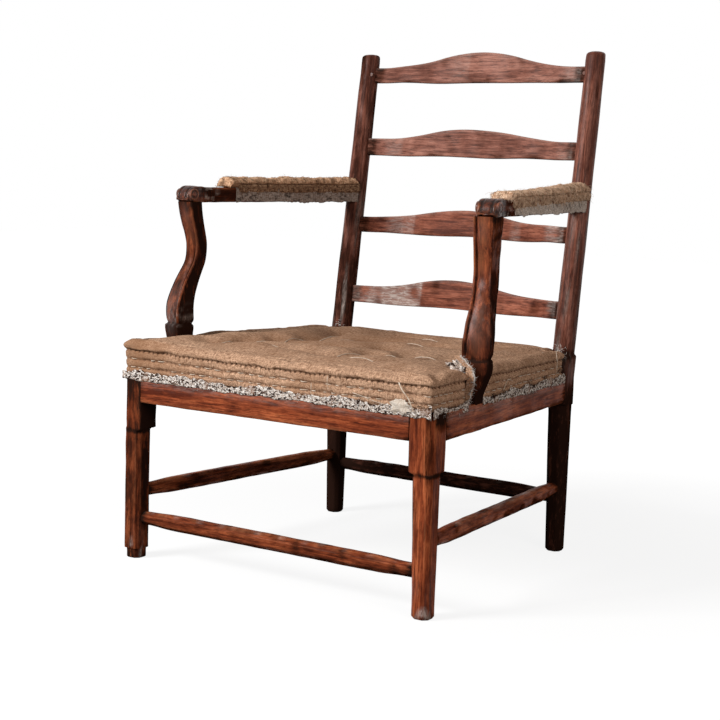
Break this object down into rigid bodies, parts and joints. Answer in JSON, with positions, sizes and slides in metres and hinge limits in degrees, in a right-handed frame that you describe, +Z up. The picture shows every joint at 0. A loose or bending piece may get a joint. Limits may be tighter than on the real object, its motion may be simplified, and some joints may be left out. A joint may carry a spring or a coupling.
{
  "type": "armchair",
  "caption": "Ladder-back wooden armchair with serpentine slats, scrolled arms on S-curved supports, shaved stretchers and a stuffed hessian seat waiting for its cover.",
  "frame": {"origin": "centre of the chair's plan box, on the floor", "axes": "+Z up, -Y the way a sitter faces, +X to the right of somebody who looks at the front"},
  "size_m": [0.7082, 0.6989, 0.9714],
  "materials": {
    "front_wood": "worn, dry, open grain",
    "back_wood": "dark, worn wax",
    "arm_wood": "dark, worn wax",
    "iron": "hand forged, dark",
    "webbing": "coarse twill jute",
    "hessian": "coarse open weave",
    "stuffing": "curled hair and straw",
    "tape": "torn linen with old paste",
    "canvas": "grey canvas"
  },
  "bodies": {
    "root": {"front_leg_left": "front_wood", "front_leg_right": "front_wood", "front_seat_rail": "front_wood", "side_rail_left": "front_wood", "side_rail_right": "front_wood", "front_stretcher": "front_wood", "side_stretcher_left": "front_wood", "side_stretcher_right": "front_wood", "back_post_left": "back_wood", "back_post_right": "back_wood", "back_seat_rail": "back_wood", "back_stretcher": "back_wood", "top_slat": "back_wood", "upper_slat": "back_wood", "lower_slat": "back_wood", "bottom_slat": "back_wood", "rail_pegs": "back_wood", "slat_pegs": "back_wood", "arm_left": "arm_wood", "arm_right": "arm_wood", "arm_support_left": "arm_wood", "arm_support_right": "arm_wood", "arm_nails": "iron", "support_nails": "iron", "webbing_lengthwise": "webbing", "webbing_crosswise": "webbing", "base_hessian": "hessian", "seat_scrim": "hessian", "arm_pad_left": "hessian", "arm_pad_right": "hessian", "seat_stuffing": "stuffing", "edge_tape": "tape", "arm_canvas_left": "canvas", "arm_canvas_right": "canvas"}
  },
  "joints": []
}
